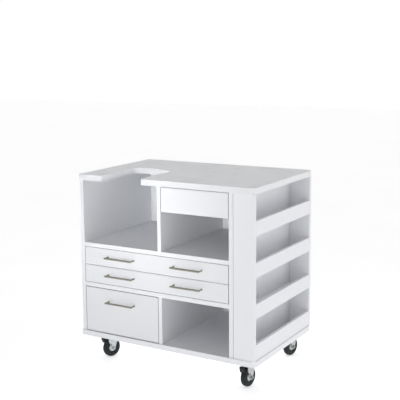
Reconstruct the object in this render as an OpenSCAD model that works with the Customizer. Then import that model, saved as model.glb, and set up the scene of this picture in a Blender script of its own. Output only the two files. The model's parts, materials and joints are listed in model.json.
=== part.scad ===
// Sewing and embroidery machine table on four swivel casters.
// A laminate carcass with a notched worktop, an open bay under the notch, four drawers,
// two open cubbies and a thread rack built onto the right-hand end.
// Millimetres. +X to the right, -Y to the front, +Z up. The origin is on the floor, at the
// middle of the whole table's bounding box.

/* [Overall] */

// Worktop width, left to right
worktop_width = 828; // [800:2:860]
// Worktop depth, front to back
worktop_depth = 550; // [540:2:580]
// Height of the cabinet without its casters
cabinet_height = 700; // [690:1:720]
// Height of a caster, from the floor to the base panel
caster_height = 93; // [92:1:100]

/* [Boards] */

// Worktop thickness
worktop_thickness = 24; // [22:1:28]
// Base panel thickness
base_thickness = 22; // [20:1:25]
// Thickness of the carcass boards
board = 18; // [16:1:19]
// Thickness of the dividers, the drawer fronts and the thread rack's boards
thin_board = 16; // [15:1:18]
// How far the worktop and base stand out beyond the carcass
overhang = 4; // [2:1:8]
// Radius of the worktop's and base's right-hand corners
end_corner_radius = 25; // [16:1:30]
// Radius of the left-hand corners
left_corner_radius = 4; // [2:1:8]

/* [Worktop notch] */

// Width of the narrow arm left of the notch
arm_width = 114; // [110:2:140]
// Width of the notch
notch_width = 196; // [170:2:200]
// Depth of the notch from the front edge
notch_depth = 280; // [250:5:310]
// Radius of the arm's inner front corner
arm_corner_radius = 18; // [12:1:36]
// Radius of the notch's right-hand front corner
notch_corner_radius = 18; // [10:1:24]
// Radius of the notch's inner corners
notch_fillet = 30; // [20:1:40]

/* [Compartments] */

// Left face of the dividers, from the worktop's left edge
divider_from_left = 391; // [380:1:400]
// Width of the thread rack
rack_width = 91; // [86:1:96]
// Underside of the middle shelf above the base panel's underside
middle_shelf_height = 219; // [214:1:226]
// Gap between a drawer front and the boards around it
front_gap = 3; // [2:0.5:4]
// Gap above and below each shallow drawer's front
shallow_gap = 2; // [1.5:0.5:3]
// Height of a shallow drawer's front
shallow_front_height = 74.5; // [72:0.5:78]
// Height of the upper drawer's front
upper_front_height = 99; // [92:1:104]

/* [Thread rack] */

// Height from one thread tier to the next
tier_pitch = 162; // [156:1:164]
// Height of an upper lip
lip_height = 58; // [50:1:62]
// Thickness of a lip
lip_thickness = 12; // [10:1:15]
// Top of the lowest lip above the base panel's underside
lowest_lip_top = 86; // [80:1:90]

/* [Drawers] */

// Thickness of the drawer box boards
box_board = 12; // [10:1:14]
// Thickness of a drawer bottom
bottom_thickness = 5; // [4:0.5:6]
// Length of a drawer box behind its front
box_depth = 450; // [400:10:480]
// Space for a slide between a drawer box and the carcass
slide_space = 13; // [12.5:0.5:14]
// Height of a slide
slide_height = 36; // [32:1:40]

/* [Pulls] */

// Distance between a pull's post centres
pull_centres = 128; // [96:32:128]
// Diameter of a pull's bar
pull_bar_diameter = 8; // [7:0.5:10]
// How far a pull stands out from the drawer front
pull_projection = 28; // [25:1:32]
// Distance from a shallow drawer's middle to each of its pulls
pull_column = 161; // [150:1:180]
// Distance from the file drawer's top edge down to its pull
file_pull_drop = 53; // [45:1:60]

/* [Casters] */

// Wheel diameter
wheel_diameter = 80; // [76:1:80]
// Tyre width
tyre_width = 24; // [22:1:28]
// Hub diameter
hub_diameter = 32; // [30:1:36]
// Distance from the swivel axis forward to the wheel's axle
caster_offset = 31; // [30:1:34]
// Distance from the left end of the base to the left swivel axes
left_caster_inset = 127; // [120:2:140]
// Distance from the right end of the base to the right swivel axes
right_caster_inset = 45; // [44:1:70]
// Distance from the front and back of the base to the left swivel axes
left_caster_inset_y = 81; // [70:1:90]
// Distance from the front and back of the base to the right swivel axes
right_caster_inset_y = 72; // [70:1:90]
// How far the front left wheel is turned at rest, in degrees
front_left_turn = -21; // [-30:1:30]
// How far the front right wheel is turned at rest, in degrees
front_right_turn = -8; // [-30:1:30]
// How far the back right wheel is turned at rest, in degrees
back_right_turn = -13; // [-30:1:30]

/* [Hidden] */

$fn = 96;
eps = 0.01;

// overall positions
pull_reach = pull_projection - overhang;
left_edge = -worktop_width / 2;
right_edge = worktop_width / 2;
front_edge = (pull_reach - worktop_depth) / 2;
back_edge = front_edge + worktop_depth;

// the carcass behind the overhangs
body_left = left_edge + overhang;
body_right = right_edge - overhang;
body_front = front_edge + overhang;
body_back = back_edge - overhang;
back_panel_face = body_back - board;

// heights above the floor
base_under = caster_height;
base_top = base_under + base_thickness;
worktop_top = base_under + cabinet_height;
worktop_under = worktop_top - worktop_thickness;
middle_under = base_under + middle_shelf_height;
middle_top = middle_under + board;
bay_under = middle_top + 3 * shallow_gap + 2 * shallow_front_height;
bay_top = bay_under + board;

// the compartments, left to right
inner_left = body_left + board;
divider_left = left_edge + divider_from_left;
divider_right = divider_left + thin_board;
rack_left = body_right - rack_width;
inner_right = rack_left - board;

// notch
notch_left = left_edge + arm_width;
notch_right = notch_left + notch_width;
notch_back = front_edge + notch_depth;

// thread rack, its tiers counted from the bottom
rack_front = body_front + thin_board;
rack_back = body_back - thin_board;
lip_face = body_right - lip_thickness;
seam_width = 2;
seam_depth = 5;
function lip_top(tier) = base_under + lowest_lip_top + tier * tier_pitch;
function lip_bottom(tier) = tier == 0 ? base_top : lip_top(tier) - lip_height;
function tier_floor(tier) = tier == 0 ? base_top : lip_bottom(tier) + thin_board;

// drawer fronts: [left, right, bottom, top]
file_face = [
    inner_left + front_gap, divider_left - front_gap,
    base_top + front_gap, middle_under - front_gap
];
low_face = [
    inner_left + front_gap, inner_right - front_gap,
    middle_top + shallow_gap, middle_top + shallow_gap + shallow_front_height
];
high_face = [
    low_face[0], low_face[1],
    low_face[3] + shallow_gap, low_face[3] + shallow_gap + shallow_front_height
];
upper_face = [
    divider_right + front_gap, inner_right - front_gap,
    worktop_under - front_gap - upper_front_height, worktop_under - front_gap
];

// drawer boxes: [left, right, bottom, top], between the slides
box_rise = 10;
box_drop = 14;
file_box_drop = 40;
function box_of(face, drop = box_drop) = [
    face[0] - front_gap + slide_space, face[1] + front_gap - slide_space,
    face[2] + box_rise, face[3] - drop
];
file_box = box_of(file_face, file_box_drop);
box_front = body_front + thin_board;
box_back = box_front + box_depth;
bottom_rise = 8;
groove_depth = 6;
groove_slack = 0.1;

// slides
slide_wall = 1.5;
slide_play = 0.5;
slide_lip = 8;
slide_setback = 6;
function slide_z(box) = (box[2] + box[3]) / 2;

// pulls
pull_post_diameter = 7;
pull_end = 4;
shallow_pull_lift = 3;

// caster parts, measured from the base panel's underside and the swivel axis
plate_length = 92;
plate_width = 67;
plate_thickness = 3;
screw_pitch_x = 48;
screw_pitch_y = 74;
screw_hole_radius = 2.8;
screw_radius = 2.5;
screw_length = 16;
screw_head_radius = 5;
screw_head_height = 2.5;
race_radius = 24;
race_height = 4;
race_gap = 0.4;
crown_thickness = 3;
crown_radius = 24;
kingpin_radius = 5;
running_clearance = 0.05;
rivet_radius = 9;
rivet_height = 2.5;
crown_top = -(plate_thickness + race_height + race_gap);
crown_under = crown_top - crown_thickness;
leg_gap = tyre_width / 2 + 3;
leg_thickness = 2.5;
leg_outer = leg_gap + leg_thickness;
leg_end_radius = 10.5;
leg_hole_radius = 2.2;
axle_y = -caster_offset;
axle_z = wheel_diameter / 2 - caster_height;
axle_radius = 4;
axle_slack = 0.1;
nut_radius = 7;
nut_height = 4;
bolt_end = 2;
washer_radius = 8;
washer_thickness = 1;
hub_side_inset = 3;
hub_web = 5;
hub_rim = 3;
hub_boss_radius = 8;
hub_boss_gap = 0.5;
tyre_shoulder = 8;
groove_width = 3;
groove_depth_tyre = 4;

// points beside the wheel, [forward(-) or back(+), up] from the axle
front_leg_edge = [[-9, 5], [-17, 18], [-25, 33]];
rear_leg_edge = [[24, 38], [19, 26], [10, 4]];
leg_hole = [13, 23];
pedal_pivot = [-11, 16];
pedal_tip = [-45, 49];
pedal_bend = [-40, 50];
pedal_root = [-31, 34];
pedal_foot = [-36.5, 25];
pedal_arm_top = [-34, 38];
pedal_arm_under = [-36.5, 26.8];
pedal_arm_end = [0.6, 4.1];
pedal_elbow_top = [-20, 23.5];
pedal_elbow_under = [-22, 14];
pedal_foot_half = 1;
pedal_pin_radius = 2.5;
pedal_boss_radius = 4.5;
pedal_lip = 8;
pedal_arm_gap = 0.8;
pedal_arm_thickness = 1.6;
pedal_arm_inner = tyre_width / 2 + pedal_arm_gap;
pedal_arm_outer = pedal_arm_inner + pedal_arm_thickness;
pedal_pin_head = 1;
pedal_tip_half_width = 9.5;
pedal_shoulder = -31;

// casters: [x, y, turn at rest]
caster_left = left_edge + left_caster_inset;
caster_right = right_edge - right_caster_inset;
front_left = [caster_left, front_edge + left_caster_inset_y, front_left_turn];
front_right = [caster_right, front_edge + right_caster_inset_y, front_right_turn];
back_left = [caster_left, back_edge - left_caster_inset_y, 0];
back_right = [caster_right, back_edge - right_caster_inset_y, back_right_turn];
casters = [front_left, front_right, back_left, back_right];

// colours
laminate = [0.90, 0.90, 0.92];
laminate_inside = [0.86, 0.86, 0.88];
nickel = [0.70, 0.67, 0.62];
zinc = [0.72, 0.74, 0.74];
hub_grey = [0.66, 0.69, 0.68];
rubber = [0.20, 0.22, 0.22];
black = [0.05, 0.05, 0.06];

// ---------- helpers ----------

// a board given by its low and high corners
module board_between(low, high) {
    translate(low) cube(high - low);
}

// the piece between a square corner and its rounding; sx and sy point into the board
module corner_waste(x, y, sx, sy, radius) {
    translate([x, y]) into_quadrant(sx, sy) difference() {
        translate([-eps, -eps]) square(radius + eps);
        translate([radius, radius]) circle(radius);
    }
}

module into_quadrant(sx, sy) {
    mirror([sx < 0 ? 1 : 0, 0]) mirror([0, sy < 0 ? 1 : 0]) children();
}

// plan of the worktop and the base, with rounded corners
module footprint() {
    difference() {
        translate([left_edge, front_edge]) square([worktop_width, worktop_depth]);
        corner_waste(left_edge, front_edge, 1, 1, left_corner_radius);
        corner_waste(left_edge, back_edge, 1, -1, left_corner_radius);
        corner_waste(right_edge, front_edge, -1, 1, end_corner_radius);
        corner_waste(right_edge, back_edge, -1, -1, end_corner_radius);
    }
}

module notch_plan() {
    difference() {
        translate([notch_left, front_edge - 1]) square([notch_width, notch_depth + 1]);
        corner_waste(notch_left, notch_back, 1, -1, notch_fillet);
        corner_waste(notch_right, notch_back, -1, -1, notch_fillet);
    }
    corner_waste(notch_left, front_edge, -1, 1, arm_corner_radius);
    corner_waste(notch_right, front_edge, 1, 1, notch_corner_radius);
}

// ---------- carcass ----------

module worktop() {
    color(laminate) translate([0, 0, worktop_under]) linear_extrude(worktop_thickness) difference() {
        footprint();
        notch_plan();
    }
}

module base_panel() {
    color(laminate) translate([0, 0, base_under]) linear_extrude(base_thickness) footprint();
}

module left_side_panel() {
    color(laminate)
        board_between([body_left, body_front, base_top], [inner_left, body_back, worktop_under]);
}

module right_body_panel() {
    color(laminate)
        board_between([inner_right, body_front, base_top], [rack_left, body_back, worktop_under]);
}

module back_panel() {
    color(laminate) board_between(
        [inner_left, back_panel_face, base_top], [inner_right, body_back, worktop_under]);
}

module bay_shelf() {
    color(laminate)
        board_between([inner_left, body_front, bay_under], [inner_right, back_panel_face, bay_top]);
}

module middle_shelf() {
    color(laminate) board_between(
        [inner_left, body_front, middle_under], [inner_right, back_panel_face, middle_top]);
}

module upper_divider() {
    color(laminate) board_between(
        [divider_left, body_front, bay_top], [divider_right, back_panel_face, worktop_under]);
}

module lower_divider() {
    color(laminate) board_between(
        [divider_left, body_front, base_top], [divider_right, back_panel_face, middle_under]);
}

// ---------- thread rack ----------

// rebated along its left front edge, which leaves an open seam beside the body panel
module thread_rack_front_board() {
    color(laminate) difference() {
        board_between([rack_left, body_front, base_top], [body_right, rack_front, worktop_under]);
        board_between(
            [rack_left - 1, body_front - 1, base_top - 1],
            [rack_left + seam_width, body_front + seam_depth, worktop_under + 1]);
    }
}

module thread_rack_back_board() {
    color(laminate)
        board_between([rack_left, rack_back, base_top], [body_right, body_back, worktop_under]);
}

module thread_rack_shelves() {
    color(laminate) for (tier = [1 : 3])
        board_between(
            [rack_left, rack_front, lip_bottom(tier)], [lip_face, rack_back, tier_floor(tier)]);
}

module thread_rack_lip(tier) {
    color(laminate) board_between(
        [lip_face, rack_front, lip_bottom(tier)], [body_right, rack_back, lip_top(tier)]);
}

// ---------- drawers ----------

module drawer_front(face, box) {
    color(laminate) difference() {
        board_between([face[0], body_front, face[2]], [face[1], box_front, face[3]]);
        bottom_groove(box);
    }
}

// the groove that holds a drawer bottom, cut in the front and the sides
module bottom_groove(box) {
    low = [
        box[0] + box_board - groove_depth, box_front - groove_depth,
        box[2] + bottom_rise - groove_slack
    ];
    high = [
        box[1] - box_board + groove_depth, box_back + 1,
        box[2] + bottom_rise + bottom_thickness + groove_slack
    ];
    board_between(low, high);
}

module drawer_sides(box) {
    color(laminate_inside) difference() {
        for (x = [box[0], box[1] - box_board])
            board_between([x, box_front, box[2]], [x + box_board, box_back, box[3]]);
        bottom_groove(box);
    }
}

module drawer_back(box) {
    color(laminate_inside) board_between(
        [box[0] + box_board, box_back - box_board, box[2] + bottom_rise + bottom_thickness],
        [box[1] - box_board, box_back, box[3]]);
}

module drawer_bottom(box) {
    play = 0.5;
    color(laminate_inside) board_between(
        [box[0] + box_board - groove_depth + play, box_front - groove_depth + play, box[2] + bottom_rise],
        [box[1] - box_board + groove_depth - play, box_back, box[2] + bottom_rise + bottom_thickness]);
}

// a slide's outer channel, screwed to the carcass; side is 1 for a wall on the drawer's left
module slide_channel(x, side, z) {
    half = slide_height / 2;
    translate([x, box_front + slide_setback, z]) mirror([side < 0 ? 1 : 0, 0, 0]) difference() {
        translate([0, 0, -half]) cube([slide_lip, box_depth, slide_height]);
        translate([slide_wall, -1, -half + slide_wall])
            cube([slide_lip, box_depth + 2, slide_height - 2 * slide_wall]);
    }
}

// a slide's inner bar, screwed to the drawer side and running inside the channel
module slide_bar(x, side, z) {
    half = slide_height / 2 - slide_wall - slide_play;
    reach = slide_space - slide_wall - slide_play;
    translate([x, box_front + slide_setback, z]) mirror([side > 0 ? 1 : 0, 0, 0]) {
        translate([0, 0, -half]) cube([slide_wall, box_depth - 2 * slide_setback, 2 * half]);
        for (edge = [-half, half - slide_wall])
            translate([0, 0, edge]) cube([reach, box_depth - 2 * slide_setback, slide_wall]);
    }
}

module channel_pair(box) {
    slide_channel(box[0] - slide_space, 1, slide_z(box));
    slide_channel(box[1] + slide_space, -1, slide_z(box));
}

module drawer_slide_members(box) {
    color(zinc) {
        slide_bar(box[0], 1, slide_z(box));
        slide_bar(box[1], -1, slide_z(box));
    }
}

module drawer_slide_cabinet_members() {
    color(zinc) for (box = [file_box, box_of(low_face), box_of(high_face), box_of(upper_face)])
        channel_pair(box);
}

// a bar pull: two posts and a round bar, its middle at x, z on the drawer front
module pull(x, z) {
    bar_radius = pull_bar_diameter / 2;
    bar_y = body_front - pull_projection + bar_radius;
    color(nickel) {
        translate([x - pull_centres / 2 - pull_end, bar_y, z]) rotate([0, 90, 0])
            cylinder(r = bar_radius, h = pull_centres + 2 * pull_end);
        for (side = [-1, 1])
            translate([x + side * pull_centres / 2, body_front, z]) rotate([90, 0, 0])
                cylinder(d = pull_post_diameter, h = pull_projection - bar_radius);
    }
}

module shallow_pulls(face) {
    middle = (face[0] + face[1]) / 2;
    for (side = [-1, 1]) pull(middle + side * pull_column, (face[2] + face[3]) / 2 + shallow_pull_lift);
}

// ---------- casters ----------

module at_caster(caster) {
    translate([caster[0], caster[1], base_under]) rotate([0, 0, caster[2]]) children();
}

// moves to the axle, where the wheel's and the fork's shapes are described
module at_axle() {
    translate([0, axle_y, axle_z]) children();
}

module mirrored_sides() {
    children();
    mirror([1, 0, 0]) children();
}

// a round or many-sided bar along X, beside or through the wheel
module cross_bar(point, from, to, radius, sides = $fn) {
    translate([from, point[0], point[1]]) rotate([0, 90, 0])
        cylinder(r = radius, h = to - from, $fn = sides);
}

// a side-view shape given thickness along X
module side_sheet(from, to) {
    translate([from, 0, 0]) rotate([90, 0, 90]) linear_extrude(to - from) children();
}

module screw_points() {
    for (sx = [-1, 1]) for (sy = [-1, 1])
        translate([sx * screw_pitch_x / 2, sy * screw_pitch_y / 2, 0]) children();
}

// the mounting plate with its race, and the kingpin whose rivet head carries the fork
module caster_plate() {
    rivet_top = crown_under - race_gap;
    difference() {
        translate([-plate_width / 2, -plate_length / 2, -plate_thickness])
            cube([plate_width, plate_length, plate_thickness]);
        screw_points() translate([0, 0, -plate_thickness - 1])
            cylinder(r = screw_hole_radius, h = plate_thickness + 2);
    }
    translate([0, 0, -plate_thickness - race_height])
        cylinder(r = race_radius, h = race_height + eps);
    translate([0, 0, rivet_top - rivet_height]) cylinder(r = rivet_radius, h = rivet_height);
    translate([0, 0, rivet_top - eps])
        cylinder(r = kingpin_radius, h = -rivet_top - plate_thickness + eps);
}

module caster_plates() {
    color(zinc) for (caster = casters) translate([caster[0], caster[1], base_under]) caster_plate();
}

module plate_screw() {
    translate([0, 0, -plate_thickness - eps])
        cylinder(r = screw_radius, h = screw_length + plate_thickness + eps);
    translate([0, 0, -plate_thickness - screw_head_height])
        cylinder(r1 = screw_head_radius - 1.5, r2 = screw_head_radius, h = screw_head_height);
}

module caster_plate_screws() {
    color(zinc) for (caster = casters) translate([caster[0], caster[1], base_under])
        screw_points() plate_screw();
}

// side view of a fork leg around the axle: wide under the crown, round at the axle
module leg_plan() {
    top = crown_under - axle_z;
    polygon(concat(
        front_leg_edge, [[front_leg_edge[2][0] + 4, top], [rear_leg_edge[0][0] + 4, top]],
        rear_leg_edge, [[0, 0]]));
    circle(leg_end_radius);
}

module crown_plan() {
    front = axle_y + front_leg_edge[2][0] + 4;
    translate([-leg_outer, front]) square([2 * leg_outer, -front]);
    circle(crown_radius);
}

module caster_fork(caster) {
    color(zinc) at_caster(caster) difference() {
        union() {
            translate([0, 0, crown_under]) linear_extrude(crown_thickness) crown_plan();
            at_axle() mirrored_sides() side_sheet(leg_gap, leg_outer) leg_plan();
        }
        translate([0, 0, crown_under - 1])
            cylinder(r = kingpin_radius + running_clearance, h = crown_thickness + 2);
        at_axle() {
            cross_bar([0, 0], -leg_outer - 1, leg_outer + 1, axle_radius + axle_slack);
            cross_bar(leg_hole, -leg_outer - 1, leg_outer + 1, leg_hole_radius);
            cross_bar(pedal_pivot, -leg_outer - 1, leg_outer + 1, pedal_pin_radius);
        }
    }
}

module caster_axle(caster) {
    washer = leg_outer + washer_thickness;
    color(zinc) at_caster(caster) at_axle() {
        cross_bar([0, 0], -washer - nut_height, washer + nut_height + bolt_end, axle_radius);
        mirrored_sides() {
            cross_bar([0, 0], leg_outer, washer, washer_radius);
            cross_bar([0, 0], washer - eps, washer + nut_height, nut_radius, 6);
        }
    }
}

module caster_hub(caster) {
    side = tyre_width / 2 - hub_side_inset;
    boss = leg_gap - hub_boss_gap;
    hollow = hub_diameter / 2 - hub_rim;
    color(hub_grey) at_caster(caster) at_axle() difference() {
        union() {
            difference() {
                cross_bar([0, 0], -side, side, hub_diameter / 2);
                mirrored_sides() cross_bar([0, 0], hub_web, side + 1, hollow);
            }
            cross_bar([0, 0], -boss, boss, hub_boss_radius);
        }
        cross_bar([0, 0], -boss - 1, boss + 1, axle_radius + running_clearance);
    }
}

// the tyre's section, [radius, distance from the middle of the tread], grooved beside the hub
module tyre_section() {
    outer = wheel_diameter / 2;
    half = tyre_width / 2;
    inner = hub_diameter / 2;
    side = half - groove_depth_tyre;
    wall = inner + groove_width;
    translate([inner, -side]) square([outer - inner - tyre_shoulder, 2 * side]);
    translate([wall, -half]) square([outer - wall - tyre_shoulder, tyre_width]);
    translate([wall, -half + tyre_shoulder]) square([outer - wall, tyre_width - 2 * tyre_shoulder]);
    for (end = [-1, 1])
        translate([outer - tyre_shoulder, end * (half - tyre_shoulder)]) circle(tyre_shoulder);
}

module caster_tyre(caster) {
    color(rubber) at_caster(caster) at_axle() rotate([0, 90, 0]) rotate_extrude() tyre_section();
}

// side view of the pedal's tongue, from its tip down to just in front of the tyre
module pedal_tongue_plan() {
    polygon([
        pedal_tip, pedal_bend, pedal_root, pedal_foot + [pedal_foot_half, 0],
        pedal_foot - [pedal_foot_half, 0], pedal_tip - [0, pedal_lip]
    ]);
}

// top view of the tongue, narrow at its tip
module pedal_taper_plan() {
    wide = pedal_arm_outer;
    back = pedal_root[0] + 4;
    polygon([
        [-pedal_tip_half_width, pedal_tip[0]], [pedal_tip_half_width, pedal_tip[0]],
        [wide, pedal_shoulder], [wide, back], [-wide, back], [-wide, pedal_shoulder]
    ]);
}

// side view of a pedal arm, from the tongue back to its pin
module pedal_arm_plan() {
    polygon([
        pedal_arm_top, pedal_elbow_top, pedal_pivot + pedal_arm_end,
        pedal_pivot - pedal_arm_end, pedal_elbow_under, pedal_arm_under
    ]);
    translate(pedal_pivot) circle(pedal_boss_radius);
}

module brake_pedal(caster) {
    pin = pedal_pin_radius - running_clearance;
    color(black) at_caster(caster) at_axle() {
        intersection() {
            side_sheet(-pedal_arm_outer, pedal_arm_outer) pedal_tongue_plan();
            linear_extrude(pedal_bend[1] + 1) pedal_taper_plan();
        }
        mirrored_sides() {
            side_sheet(pedal_arm_inner, pedal_arm_outer) pedal_arm_plan();
            cross_bar(pedal_pivot, pedal_arm_inner, leg_outer + pedal_pin_head, pin);
        }
    }
}

// ---------- drawing ----------

worktop();
base_panel();
left_side_panel();
right_body_panel();
back_panel();
bay_shelf();
middle_shelf();
upper_divider();
lower_divider();
thread_rack_front_board();
thread_rack_back_board();
thread_rack_shelves();
thread_rack_lip(3);  // thread_rack_lip_1
thread_rack_lip(2);  // thread_rack_lip_2
thread_rack_lip(1);  // thread_rack_lip_3
thread_rack_lip(0);  // thread_rack_lip_4
drawer_slide_cabinet_members();
caster_plates();
caster_plate_screws();

drawer_front(upper_face, box_of(upper_face));  // upper_drawer_front
drawer_sides(box_of(upper_face));  // upper_drawer_sides
drawer_back(box_of(upper_face));  // upper_drawer_back
drawer_bottom(box_of(upper_face));  // upper_drawer_bottom
drawer_slide_members(box_of(upper_face));  // upper_drawer_slide_members

drawer_front(high_face, box_of(high_face));  // high_shallow_drawer_front
drawer_sides(box_of(high_face));  // high_shallow_drawer_sides
drawer_back(box_of(high_face));  // high_shallow_drawer_back
drawer_bottom(box_of(high_face));  // high_shallow_drawer_bottom
drawer_slide_members(box_of(high_face));  // high_shallow_drawer_slide_members
shallow_pulls(high_face);  // high_shallow_drawer_pulls

drawer_front(low_face, box_of(low_face));  // low_shallow_drawer_front
drawer_sides(box_of(low_face));  // low_shallow_drawer_sides
drawer_back(box_of(low_face));  // low_shallow_drawer_back
drawer_bottom(box_of(low_face));  // low_shallow_drawer_bottom
drawer_slide_members(box_of(low_face));  // low_shallow_drawer_slide_members
shallow_pulls(low_face);  // low_shallow_drawer_pulls

drawer_front(file_face, file_box);  // file_drawer_front
drawer_sides(file_box);  // file_drawer_sides
drawer_back(file_box);  // file_drawer_back
drawer_bottom(file_box);  // file_drawer_bottom
drawer_slide_members(file_box);  // file_drawer_slide_members
pull((file_face[0] + file_face[1]) / 2, file_face[3] - file_pull_drop);  // file_drawer_pull

caster_fork(front_left);  // front_left_fork
caster_axle(front_left);  // front_left_axle
caster_hub(front_left);  // front_left_hub
caster_tyre(front_left);  // front_left_tyre
brake_pedal(front_left);  // front_left_brake_pedal
caster_fork(front_right);  // front_right_fork
caster_axle(front_right);  // front_right_axle
caster_hub(front_right);  // front_right_hub
caster_tyre(front_right);  // front_right_tyre
brake_pedal(front_right);  // front_right_brake_pedal
caster_fork(back_left);  // back_left_fork
caster_axle(back_left);  // back_left_axle
caster_hub(back_left);  // back_left_hub
caster_tyre(back_left);  // back_left_tyre
caster_fork(back_right);  // back_right_fork
caster_axle(back_right);  // back_right_axle
caster_hub(back_right);  // back_right_hub
caster_tyre(back_right);  // back_right_tyre
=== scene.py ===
"""The looks of a white sewing table on four swivel casters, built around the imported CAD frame."""
import json
import math

import bmesh
import bpy
from mathutils import Matrix, Vector

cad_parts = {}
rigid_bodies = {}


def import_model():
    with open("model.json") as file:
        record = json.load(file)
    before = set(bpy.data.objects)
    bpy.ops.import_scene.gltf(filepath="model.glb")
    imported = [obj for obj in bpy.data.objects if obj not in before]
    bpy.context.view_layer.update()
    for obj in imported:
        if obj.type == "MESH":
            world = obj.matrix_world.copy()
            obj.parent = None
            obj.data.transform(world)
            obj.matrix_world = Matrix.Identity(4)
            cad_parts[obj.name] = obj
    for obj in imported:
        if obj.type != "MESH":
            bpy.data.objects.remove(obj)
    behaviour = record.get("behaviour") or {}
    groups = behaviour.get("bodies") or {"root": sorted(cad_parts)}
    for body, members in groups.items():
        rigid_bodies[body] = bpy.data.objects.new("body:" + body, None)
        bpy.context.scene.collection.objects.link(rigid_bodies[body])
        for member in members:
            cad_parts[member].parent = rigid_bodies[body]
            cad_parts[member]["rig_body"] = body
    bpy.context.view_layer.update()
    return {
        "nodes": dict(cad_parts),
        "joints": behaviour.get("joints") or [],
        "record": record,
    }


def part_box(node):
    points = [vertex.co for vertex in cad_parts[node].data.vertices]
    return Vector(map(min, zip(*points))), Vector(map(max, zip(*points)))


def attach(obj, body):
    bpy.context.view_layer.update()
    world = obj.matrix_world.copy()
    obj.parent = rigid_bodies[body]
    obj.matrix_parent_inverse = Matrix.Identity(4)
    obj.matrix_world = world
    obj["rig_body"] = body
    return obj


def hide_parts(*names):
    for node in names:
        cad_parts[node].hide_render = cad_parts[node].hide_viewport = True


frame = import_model()

MM = 0.001
JOINTS = {joint["name"]: joint for joint in frame["joints"]}
CORNERS = ("front_left", "front_right", "back_left", "back_right")
DRAWERS = ("upper_drawer", "high_shallow_drawer", "low_shallow_drawer", "file_drawer")


# ---------- materials ----------

# the colour sockets of a mix node, which share their names with its other sockets
MIX_FIRST_COLOUR = 6
MIX_SECOND_COLOUR = 7
MIX_COLOUR = 2

DEFAULT_SHINE = 0.5
GLUE_LINE_COLOUR = (0.45, 0.43, 0.40)
SLIDE_ZINC = (0.70, 0.72, 0.73)
FORK_ZINC = (0.55, 0.575, 0.57)
BOLT_ZINC = (0.42, 0.44, 0.43)
SCREW_ZINC = (0.60, 0.61, 0.62)
DULL_ZINC = (0.50, 0.50, 0.49)
HUB_GREY = (0.86, 0.90, 0.895)
NICKEL_DARK = (0.34, 0.33, 0.28)
NICKEL_LIGHT = (0.46, 0.44, 0.38)
NICKEL_HANDLED = (0.29, 0.28, 0.24)
RUBBER_DARK = (0.007, 0.011, 0.011)
RUBBER_LIGHT = (0.013, 0.019, 0.019)
RUBBER_DUST = (0.06, 0.068, 0.066)
PAINT_DARK = (0.006, 0.006, 0.007)
PAINT_LIGHT = (0.014, 0.014, 0.015)
PAINT_RUBBED = (0.12, 0.12, 0.12)


def set_numbers(node, numbers):
    for socket, number in numbers.items():
        node.inputs[socket].default_value = number


class Shader:
    """A material's nodes: each call adds the nodes of one step and returns their output."""

    def __init__(self, name):
        self.material = bpy.data.materials.new(name)
        self.material.use_nodes = True
        self.nodes = self.material.node_tree.nodes
        self.links = self.material.node_tree.links
        self.surface = self.nodes["Principled BSDF"]
        self.place = self.nodes.new("ShaderNodeTexCoord").outputs["Object"]

    def feed(self, socket, value):
        if isinstance(value, bpy.types.NodeSocket):
            self.links.new(value, socket)
        else:
            socket.default_value = value

    def stretched(self, factors):
        node = self.nodes.new("ShaderNodeMapping")
        self.feed(node.inputs["Vector"], self.place)
        node.inputs["Scale"].default_value = factors
        return node.outputs["Vector"]

    def noise(self, scale, detail=3.0, place=None):
        node = self.nodes.new("ShaderNodeTexNoise")
        self.feed(node.inputs["Vector"], place or self.place)
        set_numbers(node, {"Scale": scale, "Detail": detail})
        return node.outputs["Fac"]

    def remap(self, value, low, high, to_low=0.0, to_high=1.0):
        node = self.nodes.new("ShaderNodeMapRange")
        node.interpolation_type = "SMOOTHSTEP"
        self.feed(node.inputs["Value"], value)
        set_numbers(node, {"From Min": low, "From Max": high, "To Min": to_low, "To Max": to_high})
        return node.outputs["Result"]

    def maths(self, operation, first, second):
        node = self.nodes.new("ShaderNodeMath")
        node.operation = operation
        self.feed(node.inputs[0], first)
        self.feed(node.inputs[1], second)
        return node.outputs["Value"]

    def blend(self, factor, first, second):
        node = self.nodes.new("ShaderNodeMix")
        node.data_type = "RGBA"
        self.feed(node.inputs["Factor"], factor)
        self.feed(node.inputs[MIX_FIRST_COLOUR], rgba(first))
        self.feed(node.inputs[MIX_SECOND_COLOUR], rgba(second))
        return node.outputs[MIX_COLOUR]

    def relief(self, height, strength, distance):
        node = self.nodes.new("ShaderNodeBump")
        set_numbers(node, {"Strength": strength, "Distance": distance})
        self.feed(node.inputs["Height"], height)
        self.feed(self.surface.inputs["Normal"], node.outputs["Normal"])

    def edge_distance(self, low, high):
        """Metres from a point on a box's surface to the nearest edge: the middle one of its three depths."""
        split = self.nodes.new("ShaderNodeSeparateXYZ")
        self.feed(split.inputs["Vector"], self.place)
        depths = []
        for axis, a, b in zip(split.outputs, low, high):
            from_low = self.maths("SUBTRACT", axis, a)
            from_high = self.maths("SUBTRACT", b, axis)
            depths.append(self.maths("MINIMUM", from_low, from_high))
        x, y, z = depths
        most = self.maths("MAXIMUM", self.maths("MAXIMUM", x, y), z)
        least = self.maths("MINIMUM", self.maths("MINIMUM", x, y), z)
        total = self.maths("ADD", self.maths("ADD", x, y), z)
        return self.maths("SUBTRACT", self.maths("SUBTRACT", total, most), least)

    def finish(self, colour, roughness, metallic=0.0, shine=DEFAULT_SHINE):
        self.feed(self.surface.inputs["Base Color"], colour)
        self.feed(self.surface.inputs["Roughness"], roughness)
        set_numbers(self.surface, {"Metallic": metallic, "Specular IOR Level": shine})
        return self.material


def rgba(colour):
    if isinstance(colour, bpy.types.NodeSocket):
        return colour
    return (*colour, 1.0)


def shade(colour, factor):
    return tuple(channel * factor for channel in colour)


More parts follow.
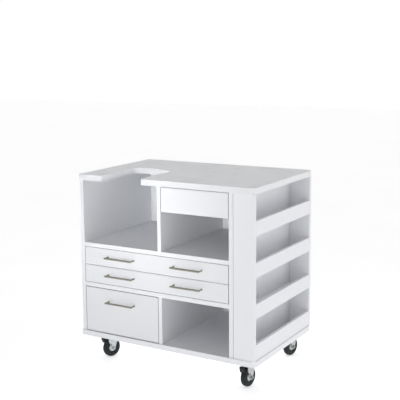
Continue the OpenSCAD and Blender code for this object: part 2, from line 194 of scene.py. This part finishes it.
def laminate(name, colour, corners, roughness=0.42):
    """Satin melamine with a fine pebble, its edge band's glue line, and light rubbing along the edges."""
    s = Shader(name)
    low, high = corners
    drift = s.remap(s.noise(3.0), 0.35, 0.65)
    pebble = s.noise(1100.0, 2.0)
    smudge = s.remap(s.noise(14.0, 5.0), 0.45, 0.7)
    from_edge = s.edge_distance(low, high)
    wander = s.remap(s.noise(60.0), 0.3, 0.7, -0.2 * MM, 0.3 * MM)
    band = s.maths("ADD", from_edge, wander)
    line_starts = s.remap(band, 0.7 * MM, 0.95 * MM)
    line_ends = s.remap(band, 1.0 * MM, 1.35 * MM, 1.0, 0.0)
    line = s.maths("MULTIPLY", line_starts, line_ends)
    near_edge = s.remap(from_edge, 0.1 * MM, 1.6 * MM, 1.0, 0.0)
    worn = s.maths("MULTIPLY", near_edge, s.remap(s.noise(35.0), 0.5, 0.7))
    board = s.blend(drift, shade(colour, 0.985), colour)
    board = s.blend(s.maths("MULTIPLY", smudge, 0.5), board, shade(colour, 0.975))
    board = s.blend(s.maths("MULTIPLY", line, 0.22), board, GLUE_LINE_COLOUR)
    board = s.blend(s.maths("MULTIPLY", worn, 0.3), board, shade(colour, 0.90))
    gloss = s.maths("ADD", s.remap(smudge, 0.0, 1.0, roughness - 0.05, roughness + 0.06),
                    s.remap(pebble, 0.3, 0.7, -0.03, 0.03))
    s.relief(pebble, 0.12, 0.08 * MM)
    return s.finish(board, gloss)


def zinc(name, colour=SLIDE_ZINC, roughness=0.30):
    """Bright zinc plating, a little cloudy."""
    s = Shader(name)
    cloud = s.remap(s.noise(90.0, 4.0), 0.35, 0.7)
    drawn = s.noise(260.0, 3.0, s.stretched((1.0, 1.0, 0.12)))
    dull = s.remap(s.noise(28.0, 5.0), 0.5, 0.72)
    tint = s.blend(cloud, colour, shade(colour, 0.86))
    tint = s.blend(s.maths("MULTIPLY", dull, 0.4), tint, DULL_ZINC)
    gloss = s.maths("ADD", s.remap(cloud, 0.0, 1.0, roughness - 0.07, roughness + 0.08),
                    s.remap(drawn, 0.3, 0.7, -0.04, 0.05))
    s.relief(drawn, 0.10, 0.05 * MM)
    return s.finish(tint, gloss, metallic=0.85)


def nickel(name):
    """Satin nickel, brushed along the bar."""
    s = Shader(name)
    brushed = s.noise(2600.0, 2.0, s.stretched((0.03, 1.0, 1.0)))
    handled = s.remap(s.noise(45.0, 4.0), 0.45, 0.7)
    tint = s.blend(s.remap(brushed, 0.3, 0.7), NICKEL_DARK, NICKEL_LIGHT)
    tint = s.blend(s.maths("MULTIPLY", handled, 0.35), tint, NICKEL_HANDLED)
    s.relief(brushed, 0.18, 0.03 * MM)
    return s.finish(tint, s.remap(brushed, 0.3, 0.7, 0.26, 0.38), metallic=1.0)


def rubber(name):
    """Dark grey tyre rubber with a little dust in spots."""
    s = Shader(name)
    mottle = s.noise(70.0, 5.0)
    grit = s.noise(1500.0, 3.0)
    dust = s.maths("MULTIPLY", s.remap(mottle, 0.48, 0.72), s.remap(grit, 0.4, 0.65))
    tint = s.blend(s.remap(mottle, 0.3, 0.7), RUBBER_DARK, RUBBER_LIGHT)
    tint = s.blend(s.maths("MULTIPLY", dust, 0.2), tint, RUBBER_DUST)
    s.relief(grit, 0.25, 0.12 * MM)
    return s.finish(tint, s.remap(mottle, 0.3, 0.7, 0.50, 0.66), shine=0.3)


def moulded(name, colour, roughness):
    """Moulded plastic with a faint orange peel."""
    s = Shader(name)
    peel = s.noise(700.0, 2.0)
    flow = s.remap(s.noise(55.0, 4.0), 0.35, 0.7)
    scuff = s.remap(s.noise(320.0, 4.0), 0.58, 0.72)
    tint = s.blend(flow, colour, shade(colour, 0.90))
    tint = s.blend(s.maths("MULTIPLY", scuff, 0.25), tint, shade(colour, 0.72))
    s.relief(peel, 0.15, 0.06 * MM)
    return s.finish(tint, s.remap(flow, 0.0, 1.0, roughness - 0.05, roughness + 0.07))


def black_paint(name):
    """Black powder paint, rubbed grey in spots."""
    s = Shader(name)
    powder = s.noise(1300.0, 3.0)
    rubbed = s.remap(s.noise(120.0, 6.0), 0.66, 0.76)
    tint = s.blend(s.remap(powder, 0.3, 0.7), PAINT_DARK, PAINT_LIGHT)
    tint = s.blend(s.maths("MULTIPLY", rubbed, 0.5), tint, PAINT_RUBBED)
    s.relief(powder, 0.22, 0.08 * MM)
    return s.finish(tint, s.remap(powder, 0.3, 0.7, 0.42, 0.54), shine=0.25)


# ---------- mesh helpers, in millimetres unless they say metres ----------

CRISP_ANGLE = math.radians(32.0)
PIECE_WELD = 0.002
NODE_WELD = 0.01


def sharpen(mesh_edit):
    """Smooth shading, with edges sharper than the crisp angle kept crisp."""
    for face in mesh_edit.faces:
        face.smooth = True
    for edge in mesh_edit.edges:
        if len(edge.link_faces) == 2:
            edge.smooth = edge.calc_face_angle(0.0) < CRISP_ANGLE


def to_piece(name, mesh_edit, material, place=None):
    """The finished mesh as an object in metres, put in place by a matrix in metres."""
    bmesh.ops.recalc_face_normals(mesh_edit, faces=mesh_edit.faces)
    sharpen(mesh_edit)
    mesh = bpy.data.meshes.new(name)
    mesh_edit.to_mesh(mesh)
    mesh_edit.free()
    mesh.materials.append(material)
    mesh.transform(Matrix.Diagonal((MM, MM, MM, 1.0)))
    if place is not None:
        mesh.transform(place)
    piece = bpy.data.objects.new(name, mesh)
    bpy.context.scene.collection.objects.link(piece)
    return piece


def settle(piece):
    """Turns a piece's modifiers into its mesh."""
    graph = bpy.context.evaluated_depsgraph_get()
    mesh = bpy.data.meshes.new_from_object(piece.evaluated_get(graph))
    piece.modifiers.clear()
    piece.data = mesh
    edit = bmesh.new()
    edit.from_mesh(mesh)
    bmesh.ops.remove_doubles(edit, verts=edit.verts, dist=PIECE_WELD * MM)
    sharpen(edit)
    edit.to_mesh(mesh)
    edit.free()


def soften(piece, width, angle=35.0):
    """Rounds the edges sharper than the angle, given in degrees."""
    bevel = piece.modifiers.new("soft_edges", "BEVEL")
    bevel.width = width * MM
    bevel.segments = 2
    bevel.limit_method = "ANGLE"
    bevel.angle_limit = math.radians(angle)
    bevel.use_clamp_overlap = True
    piece.modifiers.new("even_normals", "WEIGHTED_NORMAL").keep_sharp = True


def rounded(points, steps=5):
    """A smooth open line through the points, a Catmull-Rom spline."""
    line = []
    ends = [points[0], *points, points[-1]]
    for before, a, b, after in zip(ends, ends[1:], ends[2:], ends[3:]):
        corners = (before, a, b, after)
        for i in range(steps):
            t = i / steps
            weights = (-0.5 * t + t * t - 0.5 * t ** 3, 1 - 2.5 * t * t + 1.5 * t ** 3,
                       0.5 * t + 2 * t * t - 1.5 * t ** 3, -0.5 * t * t + 0.5 * t ** 3)
            line.append(tuple(sum(w * c[k] for w, c in zip(weights, corners)) for k in (0, 1)))
    return [*line, points[-1]]


def lathe(edit, profile, axis="X", centre=(0.0, 0.0, 0.0), sides=72, closed=False):
    """Turns [along, radius] points about an axis. An open profile ends on caps."""
    turn = {"X": Matrix.Identity(3), "Y": Matrix.Rotation(math.pi / 2, 3, "Z"),
            "Z": Matrix.Rotation(-math.pi / 2, 3, "Y")}[axis]
    rings = []
    for along, radius in profile:
        ring = []
        for i in range(sides):
            a = 2 * math.pi * i / sides
            point = turn @ Vector((along, radius * math.cos(a), radius * math.sin(a)))
            ring.append(edit.verts.new(point + Vector(centre)))
        rings.append(ring)
    pairs = list(zip(rings, rings[1:]))
    if closed:
        pairs.append((rings[-1], rings[0]))
    for first, second in pairs:
        for i in range(sides):
            j = (i + 1) % sides
            edit.faces.new((first[i], first[j], second[j], second[i]))
    if not closed:
        edit.faces.new(rings[0])
        edit.faces.new(rings[-1])


def prism(edit, outline, low, high):
    """A [y, z] outline given thickness along X."""
    near = [edit.verts.new((low, y, z)) for y, z in outline]
    far = [edit.verts.new((high, y, z)) for y, z in outline]
    edit.faces.new(near)
    edit.faces.new(far)
    count = len(outline)
    for i in range(count):
        j = (i + 1) % count
        edit.faces.new((near[i], near[j], far[j], far[i]))


def slab(edit, low, high):
    """A box between two corners."""
    (x0, y0, z0), (x1, y1, z1) = low, high
    prism(edit, [(y0, z0), (y1, z0), (y1, z1), (y0, z1)], x0, x1)


def dome(along, radius, height, steps=6):
    """Profile points of a domed end, from its rim to nearly its tip."""
    points = []
    for i in range(steps):
        a = 0.5 * math.pi * i / steps
        points.append((along + height * math.sin(a), radius * math.cos(a)))
    return [*points, (along + height, radius * 0.05)]


def box_in_mm(node):
    low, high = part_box(node)
    return low / MM, high / MM


def own_body(node):
    return frame["nodes"][node]["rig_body"]


# ---------- boards: the CAD's own nodes ----------

WORKTOP_WHITE = (0.83, 0.845, 0.865)
CARCASS_WHITE = (0.86, 0.87, 0.895)
FRONT_WHITE = (0.82, 0.83, 0.855)
BOX_WHITE = (0.74, 0.745, 0.75)

# how far in from each edge the rounding starts
WORKTOP_ROUNDING = 1.2
BOARD_ROUNDING = 0.5
FRONT_ROUNDING = 0.6
BOX_ROUNDING = 0.4
SLIDE_ROUNDING = 0.25
PLATE_ROUNDING = 0.4


def finish_node(name, material, edge_width, angle=35.0):
    """Gives a CAD node its material and takes the knife edge off its edges."""
    node = frame["nodes"][name]
    if not node.material_slots:
        node.data.materials.append(material)
    for material_slot in node.material_slots:
        material_slot.link = "OBJECT"
        material_slot.material = material
    weld = node.modifiers.new("weld", "WELD")
    weld.merge_threshold = NODE_WELD * MM
    soften(node, edge_width, angle)


def dress_boards():
    for name in frame["record"]["behaviour"]["bodies"]["cabinet"]:
        if name == "worktop":
            finish = laminate("worktop_finish", WORKTOP_WHITE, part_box(name), 0.36)
            finish_node(name, finish, WORKTOP_ROUNDING)
        elif not name.startswith(("drawer_slide", "caster_plate")):
            finish_node(name, laminate(name + "_finish", CARCASS_WHITE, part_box(name)), BOARD_ROUNDING)
    finish_node("drawer_slide_cabinet_members", zinc("slide_channel_finish"), SLIDE_ROUNDING)
    finish_node("caster_plates", zinc("caster_plate_finish"), PLATE_ROUNDING)


def dress_drawers():
    for drawer in DRAWERS:
        front = drawer + "_front"
        finish_node(front, laminate(front + "_finish", FRONT_WHITE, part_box(front)), FRONT_ROUNDING)
        for part in ("_sides", "_back", "_bottom"):
            board = drawer + part
            finish_node(board, laminate(board + "_finish", BOX_WHITE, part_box(board), 0.5), BOX_ROUNDING)
        finish_node(drawer + "_slide_members", zinc(drawer + "_slide_finish"), SLIDE_ROUNDING)


# ---------- pulls ----------

# sizes in millimetres
POST_INSET = 4.0
PULL_LENGTH = 136.0
BAR_CROWN = 1.6
POST_RADIUS = 3.5
FOOT_RADIUS = 4.6


def build_pull(edit, left, right, front, middle, bar_radius, bar_y):
    """A round bar with rounded ends on two posts with flared feet."""
    steps = 6
    end = []
    for i in range(steps + 1):
        a = 0.5 * math.pi * i / steps
        end.append((left + BAR_CROWN * (1 - math.cos(a)), bar_radius - BAR_CROWN * (1 - math.sin(a))))
    other = [(left + right - x, r) for x, r in reversed(end)]
    lathe(edit, [*end, *other], "X", (0.0, bar_y, middle), 40)
    reach = front - bar_y
    # (distance from the bar's middle, radius)
    post = [(0.0, POST_RADIUS - 0.5), (reach - 5.0, POST_RADIUS - 0.4), (reach - 2.6, POST_RADIUS),
            (reach - 1.4, FOOT_RADIUS - 0.5), (reach - 1.0, FOOT_RADIUS), (reach, FOOT_RADIUS)]
    for x in (left + POST_INSET, right - POST_INSET):
        lathe(edit, post, "Y", (x, bar_y, middle), 32)


def build_pulls():
    finish = nickel("satin_nickel")
    for node in ("high_shallow_drawer_pulls", "low_shallow_drawer_pulls", "file_drawer_pull"):
        low, high = box_in_mm(node)
        starts = [low.x, high.x - PULL_LENGTH] if node.endswith("s") else [low.x]
        middle = (low.z + high.z) / 2
        bar_radius = (high.z - low.z) / 2
        bar_y = low.y + bar_radius
        edit = bmesh.new()
        for start in starts:
            build_pull(edit, start, start + PULL_LENGTH, high.y, middle, bar_radius, bar_y)
        piece = to_piece(node + "_bars", edit, finish)
        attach(piece, own_body(node))
        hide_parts(node)


# ---------- casters ----------

# sizes in millimetres that follow the CAD's; heights are from the base panel's underside
CROWN_MIDDLE = -8.9
LEG_OUTER = 17.5
SHEET = 2.5
LEG_MIDDLE = LEG_OUTER - SHEET / 2
SHOULDER = 5.0
CROWN_RADIUS = 24.0
LEG_END = 10.5
LEG_HOLE_RADIUS = 2.2
BOSS_REACH = 14.5
HUB_RIM_REACH = 9.0
SHANK_RADIUS = 4.0
WASHER = 1.0
WASHER_RADIUS = 8.0
NUT = 4.0
NUT_RADIUS = 7.0
BOLT_PAST_NUT = 2.0
PLATE_UNDER = -3.0
SCREW_X = 24.0
SCREW_Y = 37.0
SCREW_RADIUS = 2.5
SCREW_SHOULDER = 14.0
SCREW_TIP = 16.0
HEAD_RADIUS = 5.0
HEAD_HEIGHT = 2.4

# the hole in each leg, (behind, above) the axle
LEG_HOLE = (13.0, 23.0)

# steps along the fork's sheet: round the leg's tip, up the leg, round the shoulder, to the crown's middle
TIP_STEPS = 6
LEG_STEPS = 14
SHOULDER_STEPS = 7
CROWN_STEPS = 5
STEPS_ACROSS = 10

# details that only the visual model has
FORK_ROUNDING = 0.45
BOLT_ROUNDING = 0.25
HUB_ROUNDING = 0.3
PEDAL_ROUNDING = 0.5
THREADS = 3
THREAD_PITCH = 0.38
THREAD_DEPTH = 0.18
RIBS = 6
RIB_HALF = 0.9
GRIPS = 3
GRIP_START = 3.0
GRIP_PITCH = 4.2
GRIP_HEIGHT = 0.8

# a leg's edges seen from the side: (height above the axle, distance behind it)
FRONT_EDGE = [(-LEG_END, 0), (5, -9), (18, -17), (33, -25), (43, -21)]
REAR_EDGE = [(-LEG_END, 0), (4, 10), (26, 19), (38, 24), (43, 28)]

# the top of the pedal's slope and its foot, (behind, above) the axle: negative is in front of it
PEDAL_BEND = (-40.0, 50.0)
PEDAL_ROOT = (-31.0, 34.0)


def caster_facts(corner):
    """The swivel's matrix in metres, and the axle's [y, z] in millimetres from it."""
    swivel = Vector(JOINTS[corner + "_swivel_turn"]["pos_m"])
    spin = JOINTS[corner + "_wheel_spin"]
    turn = math.atan2(spin["axis"][1], spin["axis"][0])
    place = Matrix.Translation(swivel) @ Matrix.Rotation(turn, 4, "Z")
    local = place.inverted() @ Vector(spin["pos_m"])
    return place, (local.y / MM, local.z / MM)


def along_edge(edge, height):
    """Where a leg's edge is at that height above the axle."""
    if height < edge[1][0]:
        return math.copysign(math.sqrt(max(LEG_END ** 2 - height ** 2, 0.0)), edge[1][1])
    for (h0, a0), (h1, a1) in zip(edge[1:], edge[2:]):
        if height <= h1:
            return a0 + (a1 - a0) * (height - h0) / (h1 - h0)
    return edge[-1][1]


def fork_stations(axle):
    """[x, z, front y, rear y] from the right leg's tip up over to the crown's middle."""
    axle_y, axle_z = axle
    top = CROWN_MIDDLE - SHOULDER
    heights = [-LEG_END + 0.05 + 1.2 * i * i / TIP_STEPS for i in range(TIP_STEPS + 1)]
    tip = heights[-1]
    heights += [tip + (top - axle_z - tip) * i / LEG_STEPS for i in range(1, LEG_STEPS + 1)]
    stations = []
    for height in heights:
        front = axle_y + along_edge(FRONT_EDGE, height)
        rear = axle_y + along_edge(REAR_EDGE, height)
        stations.append((LEG_MIDDLE, axle_z + height, front, rear))
    inner = LEG_MIDDLE - SHOULDER
    for i in range(1, SHOULDER_STEPS + 1):
        share = i / SHOULDER_STEPS
        a = 0.5 * math.pi * share
        x = inner + SHOULDER * math.cos(a)
        crown_rear = math.sqrt(CROWN_RADIUS ** 2 - x * x)
        stations.append((x, top + SHOULDER * math.sin(a), front, rear + (crown_rear - rear) * share))
    for i in range(1, CROWN_STEPS + 1):
        x = inner * (1 - i / CROWN_STEPS)
        stations.append((x, CROWN_MIDDLE, front, math.sqrt(CROWN_RADIUS ** 2 - x * x)))
    return stations


def build_fork(corner, place, axle, finish):
    """A pressed sheet fork with round shoulders."""
    half = fork_stations(axle)
    other = [(-x, z, front, rear) for x, z, front, rear in reversed(half[:-1])]
    edit = bmesh.new()
    rows = []
    for x, z, front, rear in [*half, *other]:
        depths = [front + (rear - front) * i / STEPS_ACROSS for i in range(STEPS_ACROSS + 1)]
        rows.append([edit.verts.new((x, y, z)) for y in depths])
    for first, second in zip(rows, rows[1:]):
        for i in range(STEPS_ACROSS):
            edit.faces.new((first[i], first[i + 1], second[i + 1], second[i]))
    piece = to_piece(corner + "_pressed_fork", edit, finish)
    thick = piece.modifiers.new("sheet", "SOLIDIFY")
    thick.thickness = SHEET * MM
    thick.offset = 0.0
    drill = bmesh.new()
    reach = LEG_OUTER + 4
    centre = (0.0, axle[0] + LEG_HOLE[0], axle[1] + LEG_HOLE[1])
    lathe(drill, [(-reach, LEG_HOLE_RADIUS), (reach, LEG_HOLE_RADIUS)], "X", centre, 24)
    cutter = to_piece(corner + "_drill", drill, finish)
    hole = piece.modifiers.new("hole", "BOOLEAN")
    hole.operation = "DIFFERENCE"
    hole.object = cutter
    settle(piece)
    bpy.data.objects.remove(cutter)
    piece.data.transform(place)
    soften(piece, FORK_ROUNDING, 40.0)
    return piece


def build_race_cover(corner, place, finish):
    """The pressed ring round the ball race, on top of the fork."""
    edit = bmesh.new()
    # (height, radius)
    outside = rounded([(-9.5, 24.4), (-9.3, 26.0), (-7.4, 26.6), (-5.4, 26.0), (-4.6, 25.0)], 4)
    inside = [(-5.2, 24.5), (-7.2, 24.5)]
    lathe(edit, [*outside, *inside], "Z", closed=True)
    return to_piece(corner + "_race_cover", edit, finish, place)


def build_axle(corner, place, axle, finish):
    """A bolt with its head, a nut, two washers and a few turns of thread past the nut."""
    edit = bmesh.new()
    centre = (0.0, *axle)
    face = LEG_OUTER + WASHER
    nut_face = face + NUT
    bolt_end = nut_face + BOLT_PAST_NUT
    bolt = [(-face, SHANK_RADIUS), (bolt_end - 0.6, SHANK_RADIUS), (bolt_end, SHANK_RADIUS - 0.6)]
    lathe(edit, bolt, "X", centre, 32)
    for side in (-1, 1):
        washer = [(LEG_OUTER, WASHER_RADIUS), (face - 0.3, WASHER_RADIUS), (face, WASHER_RADIUS - 0.4)]
        lathe(edit, [(side * x, r) for x, r in washer], "X", centre, 40)
        hexagon = [(face, NUT_RADIUS), (nut_face - 0.6, NUT_RADIUS), (nut_face, NUT_RADIUS - 0.8)]
        lathe(edit, [(side * x, r) for x, r in hexagon], "X", centre, 6)
    for i in range(THREADS):
        start = nut_face + 0.2 + THREAD_PITCH * i
        crest = (start + 0.12, SHANK_RADIUS + THREAD_DEPTH)
        lathe(edit, [(start, SHANK_RADIUS), crest, (start + 0.24, SHANK_RADIUS)], "X", centre, 32)
    piece = to_piece(corner + "_axle_bolt", edit, finish, place)
    soften(piece, BOLT_ROUNDING, 30.0)
    return piece


def build_hub(corner, place, axle, radius, finish):
    """A dished hub with a rim, a boss and six ribs a side."""
    edit = bmesh.new()
    centre = (0.0, *axle)
    rim = HUB_RIM_REACH
    # (distance along the axle, radius)
    side = [(rim - 0.6, radius), (rim, radius - 0.6), (rim, radius - 2.4), (rim - 0.8, radius - 3.1),
            (6.2, radius - 3.8), (5.0, radius - 5.0), (5.2, 9.6), (6.2, 8.3), (BOSS_REACH - 0.8, 8.0),
            (BOSS_REACH, 7.2), (BOSS_REACH, 4.05)]
    other = [(-x, r) for x, r in reversed(side)]
    lathe(edit, [*side, *other], "X", centre, closed=True)
    for i in range(RIBS):
        seat = Matrix.Translation(centre) @ Matrix.Rotation(2 * math.pi * i / RIBS, 4, "X")
        for near, far in ((4.6, 7.6), (-7.6, -4.6)):
            fresh = len(edit.verts)
            slab(edit, (near, -RIB_HALF, 7.4), (far, RIB_HALF, radius - 2.6))
            edit.verts.ensure_lookup_table()
            bmesh.ops.transform(edit, matrix=seat, verts=edit.verts[fresh:])
    piece = to_piece(corner + "_dished_hub", edit, finish, place)
    soften(piece, HUB_ROUNDING, 40.0)
    return piece


def build_tyre(corner, place, axle, radius, half, hub_radius, finish):
    """A round-shouldered tyre with a groove beside the hub and a mould line round the tread."""
    edit = bmesh.new()
    wall = hub_radius + 3.0
    # (distance along the axle, radius)
    shoulder = [(0.25, radius - 0.12), (half - 7.8, radius - 0.3), (half - 4.0, radius - 1.7),
                (half - 1.3, radius - 4.8), (half - 0.2, radius - 8.8), (half - 0.1, wall + 2.4),
                (half - 0.8, wall + 0.6)]
    inner = [(half - 2.2, wall - 0.4), (half - 3.6, wall - 1.6), (half - 4.0, hub_radius + 1.0),
             (half - 4.0, hub_radius + 0.02)]
    side = [*rounded(shoulder, 5), *inner]
    other = [(-x, r) for x, r in reversed(side)]
    lathe(edit, [*side, *other, (0.0, radius)], "X", (0.0, *axle), 112, closed=True)
    return to_piece(corner + "_round_tyre", edit, finish, place)


def build_pedal_grips(corner, place, axle, finish):
    """Three raised bars across the tongue."""
    edit = bmesh.new()
    start = Vector(PEDAL_BEND)
    along = (Vector(PEDAL_ROOT) - start).normalized()
    outward = Vector((-along.y, along.x))
    rise = outward * GRIP_HEIGHT
    for i in range(GRIPS):
        foot = start + along * (GRIP_START + GRIP_PITCH * i)
        half = 8.6 + 1.3 * i
        outline = [foot, foot + along * 1.8, foot + along * 1.5 + rise, foot + along * 0.3 + rise]
        prism(edit, [(axle[0] + p.x, axle[1] + p.y) for p in outline], -half, half)
    return to_piece(corner + "_pedal_grips", edit, finish, place)


def build_casters():
    steel = zinc("fork_zinc", FORK_ZINC, 0.38)
    bolt_steel = zinc("bolt_zinc", BOLT_ZINC)
    plastic = moulded("hub_grey", HUB_GREY, 0.40)
    tyre_rubber = rubber("tyre_rubber")
    paint = black_paint("pedal_black_paint")
    # the back left caster points straight ahead, so its boxes show the true sizes
    low, high = box_in_mm("back_left_tyre")
    radius = (high.z - low.z) / 2
    half = (high.x - low.x) / 2
    hub_low, hub_high = box_in_mm("back_left_hub")
    hub_radius = (hub_high.z - hub_low.z) / 2
    for corner in CORNERS:
        place, axle = caster_facts(corner)
        fork = build_fork(corner, place, axle, steel)
        bolt = build_axle(corner, place, axle, bolt_steel)
        hub = build_hub(corner, place, axle, hub_radius, plastic)
        tyre = build_tyre(corner, place, axle, radius, half, hub_radius, tyre_rubber)
        made = ((fork, "_fork", "caster_zinc"), (bolt, "_axle", "caster_zinc"),
                (hub, "_hub", "caster_hub"), (tyre, "_tyre", "caster_tyre"))
        for piece, part, slot in made:
            node = corner + part
            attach(piece, own_body(node))
            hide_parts(node)
        cover = build_race_cover(corner, place, steel)
        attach(cover, own_body(corner + "_fork"))
        if corner.startswith("front"):
            finish_node(corner + "_brake_pedal", paint, PEDAL_ROUNDING, 30.0)
            grips = build_pedal_grips(corner, place, axle, paint)
            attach(grips, own_body(corner + "_brake_pedal"))


def build_screws():
    """Dome-headed screws, one mesh for all sixteen."""
    edit = bmesh.new()
    # (height, radius)
    body = [(SCREW_TIP, 0.3), (SCREW_SHOULDER, SCREW_RADIUS), (PLATE_UNDER, SCREW_RADIUS)]
    head = [(-z, r) for z, r in dome(-PLATE_UNDER, HEAD_RADIUS, HEAD_HEIGHT)]
    for corner in CORNERS:
        swivel = Vector(JOINTS[corner + "_swivel_turn"]["pos_m"]) / MM
        for x in (-SCREW_X, SCREW_X):
            for y in (-SCREW_Y, SCREW_Y):
                centre = swivel + Vector((x, y, 0.0))
                lathe(edit, [*body, *head], "Z", centre, 28)
    piece = to_piece("caster_plate_screw_heads", edit, zinc("screw_zinc", SCREW_ZINC, 0.28))
    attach(piece, "cabinet")
    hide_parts("caster_plate_screws")


# ---------- studio ----------

# the floor's reach is in millimetres
FLOOR_REACH = 14000.0
FLOOR_DARK = (0.93, 0.93, 0.935)
FLOOR_LIGHT = (0.95, 0.95, 0.955)
FLOOR_GLOW = 0.5
BACK_GLOW = 1.02
FRONT_GLOW = 0.33
TOP_GLOW = 0.40

# where the glow changes: along Y from front to back, and along Z from the sides to the top
FRONT_ENDS = -0.5
BACK_STARTS = 0.3
TOP_STARTS = 0.25
TOP_IS_FULL = 0.9

# name, place, target, size in metres, power in watts, spread in degrees
SOFT_BOXES = (
    ("front_box", (0.7, -3.4, 0.9), (-0.1, 0.0, 0.5), 1.2, 22.0, 180.0),
    ("bay_box", (0.5, -2.9, 0.85), (-0.2, 0.1, 0.62), 0.5, 0.35, 14.0),
    ("right_box", (3.2, 0.6, 1.2), (0.3, 0.0, 0.45), 2.0, 8.0, 180.0),
)

# the camera's place from the base panel's left front lower corner, in metres, and its angles in degrees
CAMERA_PLACE = (2.2765, -2.9282, 1.2356)
CAMERA_AZIMUTH = 32.42
CAMERA_ELEVATION = 8.35
CAMERA_ROLL = -0.82


def pale_floor():
    """A flat white floor that glows a little, so that it meets the white background."""
    s = Shader("pale_floor")
    cloth = s.remap(s.noise(2.0), 0.3, 0.7)
    tint = s.blend(cloth, FLOOR_DARK, FLOOR_LIGHT)
    edit = bmesh.new()
    corners = [(-FLOOR_REACH, -FLOOR_REACH), (FLOOR_REACH, -FLOOR_REACH),
               (FLOOR_REACH, FLOOR_REACH), (-FLOOR_REACH, FLOOR_REACH)]
    edit.faces.new([edit.verts.new((x, y, 0.0)) for x, y in corners])
    s.feed(s.surface.inputs["Emission Color"], tint)
    set_numbers(s.surface, {"Emission Strength": FLOOR_GLOW})
    floor = to_piece("floor", edit, s.finish(tint, 0.7))


def soft_world():
    """White behind the table, dimmer in front of it and overhead."""
    world = bpy.data.worlds.new("studio")
    world.use_nodes = True
    nodes = world.node_tree.nodes
    links = world.node_tree.links
    place = nodes.new("ShaderNodeTexCoord").outputs["Generated"]
    split = nodes.new("ShaderNodeSeparateXYZ")
    links.new(place, split.inputs["Vector"])
    horizon = nodes.new("ShaderNodeMapRange")
    horizon.interpolation_type = "SMOOTHSTEP"
    links.new(split.outputs["Y"], horizon.inputs["Value"])
    set_numbers(horizon, {"From Min": FRONT_ENDS, "From Max": BACK_STARTS,
                          "To Min": FRONT_GLOW, "To Max": BACK_GLOW})
    height = nodes.new("ShaderNodeMapRange")
    links.new(split.outputs["Z"], height.inputs["Value"])
    set_numbers(height, {"From Min": TOP_STARTS, "From Max": TOP_IS_FULL, "To Max": TOP_GLOW})
    links.new(horizon.outputs["Result"], height.inputs["To Min"])
    back = nodes["Background"]
    back.inputs["Color"].default_value = (1.0, 1.0, 1.0, 1.0)
    links.new(height.outputs["Result"], back.inputs["Strength"])
    bpy.context.scene.world = world


def soft_box(name, place, target, size, power, spread):
    light = bpy.data.lights.new(name, "AREA")
    light.spread = math.radians(spread)
    light.size = size
    light.energy = power
    lamp = bpy.data.objects.new(name, light)
    lamp.location = place
    lamp.rotation_euler = (Vector(target) - Vector(place)).to_track_quat("-Z", "Y").to_euler()
    bpy.context.scene.collection.objects.link(lamp)


def camera():
    """Set back to the right of the front, a little above the worktop."""
    data = bpy.data.cameras.new("camera")
    data.sensor_width = 36.0
    data.lens = 79.6
    data.shift_x = 0.0965
    data.shift_y = -0.064
    data.clip_end = 100.0
    seat = bpy.data.objects.new("camera", data)
    seat.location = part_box("base_panel")[0] + Vector(CAMERA_PLACE)
    azimuth = math.radians(CAMERA_AZIMUTH)
    elevation = math.radians(CAMERA_ELEVATION)
    level = math.cos(elevation)
    back = Vector((math.sin(azimuth) * level, -math.cos(azimuth) * level, math.sin(elevation)))
    seat.rotation_mode = "QUATERNION"
    tilt = Matrix.Rotation(math.radians(CAMERA_ROLL), 3, "Z").to_quaternion()
    seat.rotation_quaternion = (-back).to_track_quat("-Z", "Y") @ tilt
    bpy.context.scene.collection.objects.link(seat)
    bpy.context.scene.camera = seat


dress_boards()
dress_drawers()
build_pulls()
build_casters()
build_screws()
pale_floor()
soft_world()
for box in SOFT_BOXES:
    soft_box(*box)
camera()
bpy.context.scene.view_settings.view_transform = "Standard"
